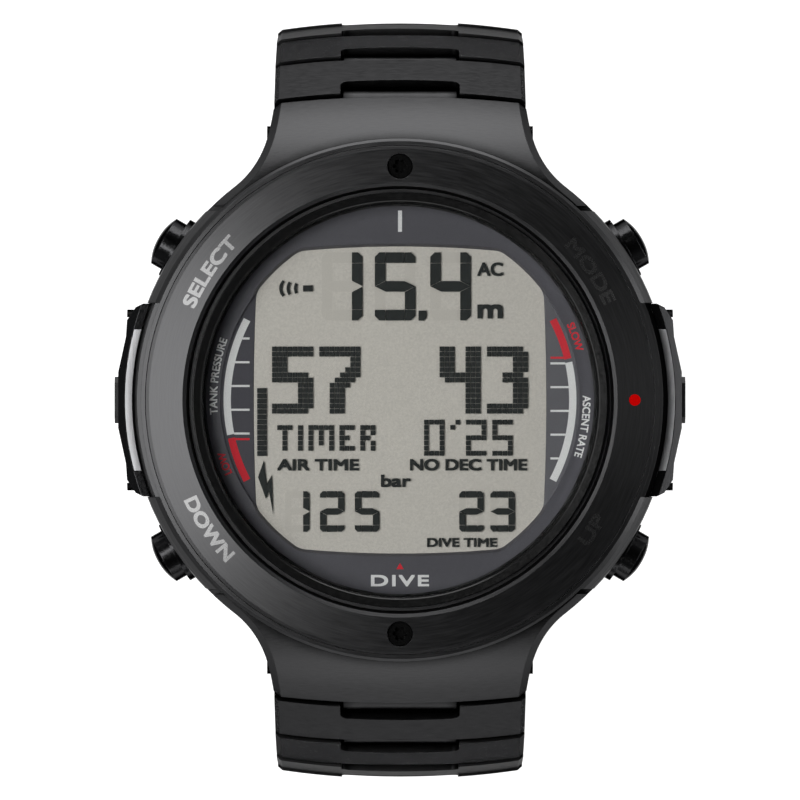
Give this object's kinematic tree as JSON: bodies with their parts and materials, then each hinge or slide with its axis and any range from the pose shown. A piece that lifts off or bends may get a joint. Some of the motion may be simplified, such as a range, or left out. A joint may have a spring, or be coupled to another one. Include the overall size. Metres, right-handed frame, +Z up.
{
  "type": "dive computer",
  "caption": "Wrist dive computer: round metal case with a segment display, side push buttons, and a metal link bracelet closed by a folding clasp.",
  "frame": {"origin": "on the floor under the middle of the closed clasp, at the centre of the bounding box's bottom", "axes": "+Z up out of the dial, +Y towards 12 o'clock along the bracelet, +X towards 3 o'clock"},
  "size_m": [0.0552, 0.0756, 0.0558],
  "materials": {
    "case_steel": "black coated, satin",
    "bezel_steel": "black coated, brushed in circles",
    "link_steel": "black coated, brushed across",
    "clasp_steel": "black coated, satin",
    "pin_steel": "plain turned",
    "screw_steel": "black coated, satin",
    "trim_steel": "bare, satin",
    "button_steel": "black coated, polished",
    "guard_steel": "black coated, polished",
    "guard_polymer": "fine moulded",
    "crystal_glass": "polished",
    "ring_polymer": "gloss",
    "seal_rubber": "matt",
    "mask_polymer": "slate grey, printed",
    "lcd_glass": "reflective grey display",
    "backlight": "diffuse",
    "frame_polymer": "moulded",
    "board": "solder mask",
    "chip": "moulded",
    "cell": "bright",
    "contact": "bright",
    "copper": "wound wire",
    "sensor_steel": "turned",
    "print_white": "printed and filled lettering",
    "print_red": "printed and filled marks",
    "lcd_ink": "dark display segments"
  },
  "bodies": {
    "head": {"case_body": "case_steel", "bezel_ring": "bezel_steel", "bezel_screws": "screw_steel", "crystal": "crystal_glass", "crystal_ring": "ring_polymer", "crystal_gasket": "seal_rubber", "dial_mask": "mask_polymer", "lcd_panel": "lcd_glass", "backlight_panel": "backlight", "zebra_strips": "seal_rubber", "circuit_board": "board", "board_chips": "chip", "module_frame": "frame_polymer", "battery": "cell", "battery_contacts": "contact", "pressure_sensor": "sensor_steel", "piezo_buzzer": "contact", "antenna_coil": "copper", "case_back": "case_steel", "case_back_gasket": "seal_rubber", "case_back_screws": "screw_steel", "button_tubes": "button_steel", "button_seals": "seal_rubber", "side_guards": "guard_steel", "guard_trims": "trim_steel", "guard_screws": "screw_steel", "contact_pads": "guard_polymer", "end_link_top": "link_steel", "end_link_bottom": "link_steel", "end_link_pins": "screw_steel", "button_spring_select": "pin_steel", "button_spring_mode": "pin_steel", "button_spring_down": "pin_steel", "button_spring_up": "pin_steel"},
    "link_t1": {"link_t1": "link_steel"},
    "link_t2": {"link_t2": "link_steel"},
    "link_t3": {"link_t3": "link_steel"},
    "link_t4": {"link_t4": "link_steel"},
    "link_t5": {"link_t5": "link_steel"},
    "link_t6": {"link_t6": "link_steel"},
    "link_t7": {"link_t7": "link_steel"},
    "link_b1": {"link_b1": "link_steel"},
    "link_b2": {"link_b2": "link_steel"},
    "link_b3": {"link_b3": "link_steel"},
    "link_b4": {"link_b4": "link_steel"},
    "link_b5": {"link_b5": "link_steel"},
    "link_b6": {"link_b6": "link_steel"},
    "link_b7": {"link_b7": "link_steel"},
    "blade_inner": {"blade_inner": "clasp_steel"},
    "blade_outer": {"blade_outer": "clasp_steel", "clasp_hinge_pins": "pin_steel"},
    "clasp_cover": {"clasp_cover": "clasp_steel", "lock_flap_pin": "pin_steel"},
    "lock_flap": {"lock_flap": "clasp_steel"},
    "pusher_right": {"clasp_pusher_right": "button_steel"},
    "pusher_left": {"clasp_pusher_left": "button_steel"},
    "button_select": {"button_select": "button_steel"},
    "button_mode": {"button_mode": "button_steel"},
    "button_down": {"button_down": "button_steel"},
    "button_up": {"button_up": "button_steel"}
  },
  "joints": [
    {"name": "hinge_t1", "type": "hinge", "parent": "head", "child": "link_t1", "pos_m": [0, 0.02898, 0.04671], "axis": [1, 0, 0], "range_deg": [0, 11.5]},
    {"name": "hinge_t2", "type": "hinge", "parent": "link_t1", "child": "link_t2", "pos_m": [0, 0.03253, 0.04103], "axis": [1, 0, 0], "range_deg": [0, 11.5]},
    {"name": "hinge_t3", "type": "hinge", "parent": "link_t2", "child": "link_t3", "pos_m": [0, 0.03482, 0.03474], "axis": [1, 0, 0], "range_deg": [0, 10]},
    {"name": "hinge_t4", "type": "hinge", "parent": "link_t3", "child": "link_t4", "pos_m": [0, 0.03593, 0.02813], "axis": [1, 0, 0], "range_deg": [0, 11]},
    {"name": "hinge_t5", "type": "hinge", "parent": "link_t4", "child": "link_t5", "pos_m": [0, 0.03569, 0.02143], "axis": [1, 0, 0], "range_deg": [0, 13.5]},
    {"name": "hinge_t6", "type": "hinge", "parent": "link_t5", "child": "link_t6", "pos_m": [0, 0.03385, 0.01499], "axis": [1, 0, 0], "range_deg": [0, 16.5]},
    {"name": "hinge_t7", "type": "hinge", "parent": "link_t6", "child": "link_t7", "pos_m": [0, 0.0302, 0.00937], "axis": [1, 0, 0], "range_deg": [0, 18.5]},
    {"name": "hinge_b1", "type": "hinge", "parent": "head", "child": "link_b1", "pos_m": [0, -0.02898, 0.04671], "axis": [-1, 0, 0], "range_deg": [0, 11.5]},
    {"name": "hinge_b2", "type": "hinge", "parent": "link_b1", "child": "link_b2", "pos_m": [0, -0.03253, 0.04103], "axis": [-1, 0, 0], "range_deg": [0, 11.5]},
    {"name": "hinge_b3", "type": "hinge", "parent": "link_b2", "child": "link_b3", "pos_m": [0, -0.03482, 0.03474], "axis": [-1, 0, 0], "range_deg": [0, 10]},
    {"name": "hinge_b4", "type": "hinge", "parent": "link_b3", "child": "link_b4", "pos_m": [0, -0.03593, 0.02813], "axis": [-1, 0, 0], "range_deg": [0, 11]},
    {"name": "hinge_b5", "type": "hinge", "parent": "link_b4", "child": "link_b5", "pos_m": [0, -0.03569, 0.02143], "axis": [-1, 0, 0], "range_deg": [0, 13.5]},
    {"name": "hinge_b6", "type": "hinge", "parent": "link_b5", "child": "link_b6", "pos_m": [0, -0.03385, 0.01499], "axis": [-1, 0, 0], "range_deg": [0, 16.5]},
    {"name": "hinge_b7", "type": "hinge", "parent": "link_b6", "child": "link_b7", "pos_m": [0, -0.0302, 0.00937], "axis": [-1, 0, 0], "range_deg": [0, 18.5]},
    {"name": "hinge_clasp_end", "type": "hinge", "parent": "link_b7", "child": "blade_inner", "pos_m": [0, -0.02492, 0.00525], "axis": [-1, 0, 0], "range_deg": [0, 20.57]},
    {"name": "blade_fold", "type": "hinge", "parent": "blade_inner", "child": "blade_outer", "pos_m": [0, 0.017, 0.00494], "axis": [1, 0, 0], "range_deg": [0, 150]},
    {"name": "cover_fold", "type": "hinge", "parent": "blade_outer", "child": "clasp_cover", "pos_m": [0, -0.0195, 0.00481], "axis": [1, 0, 0], "range_deg": [-150, 0]},
    {"name": "flap_hinge", "type": "hinge", "parent": "clasp_cover", "child": "lock_flap", "pos_m": [0, -0.008, 0.00101], "axis": [1, 0, 0], "range_deg": [0, 85]},
    {"name": "pusher_right_press", "type": "slide", "parent": "clasp_cover", "child": "pusher_right", "axis": [-1, 0, 0], "range_m": [0, 0.0006], "stiffness_N_per_m": 500, "springref_m": -0.001},
    {"name": "pusher_left_press", "type": "slide", "parent": "clasp_cover", "child": "pusher_left", "axis": [1, 0, 0], "range_m": [0, 0.0006], "stiffness_N_per_m": 500, "springref_m": -0.001},
    {"name": "select_press", "type": "slide", "parent": "head", "child": "button_select", "axis": [0.866, -0.5, 0], "range_m": [0, 0.0008], "stiffness_N_per_m": 500, "springref_m": -0.001, "deforming": ["button_spring_select"]},
    {"name": "mode_press", "type": "slide", "parent": "head", "child": "button_mode", "axis": [-0.866, -0.5, 0], "range_m": [0, 0.0008], "stiffness_N_per_m": 500, "springref_m": -0.001, "deforming": ["button_spring_mode"]},
    {"name": "down_press", "type": "slide", "parent": "head", "child": "button_down", "axis": [0.866, 0.5, 0], "range_m": [0, 0.0008], "stiffness_N_per_m": 500, "springref_m": -0.001, "deforming": ["button_spring_down"]},
    {"name": "up_press", "type": "slide", "parent": "head", "child": "button_up", "axis": [-0.866, 0.5, 0], "range_m": [0, 0.0008], "stiffness_N_per_m": 500, "springref_m": -0.001, "deforming": ["button_spring_up"]}
  ],
  "couplings": [
    {"joint": "cover_fold", "follows": "blade_fold", "ratio": -1}
  ]
}
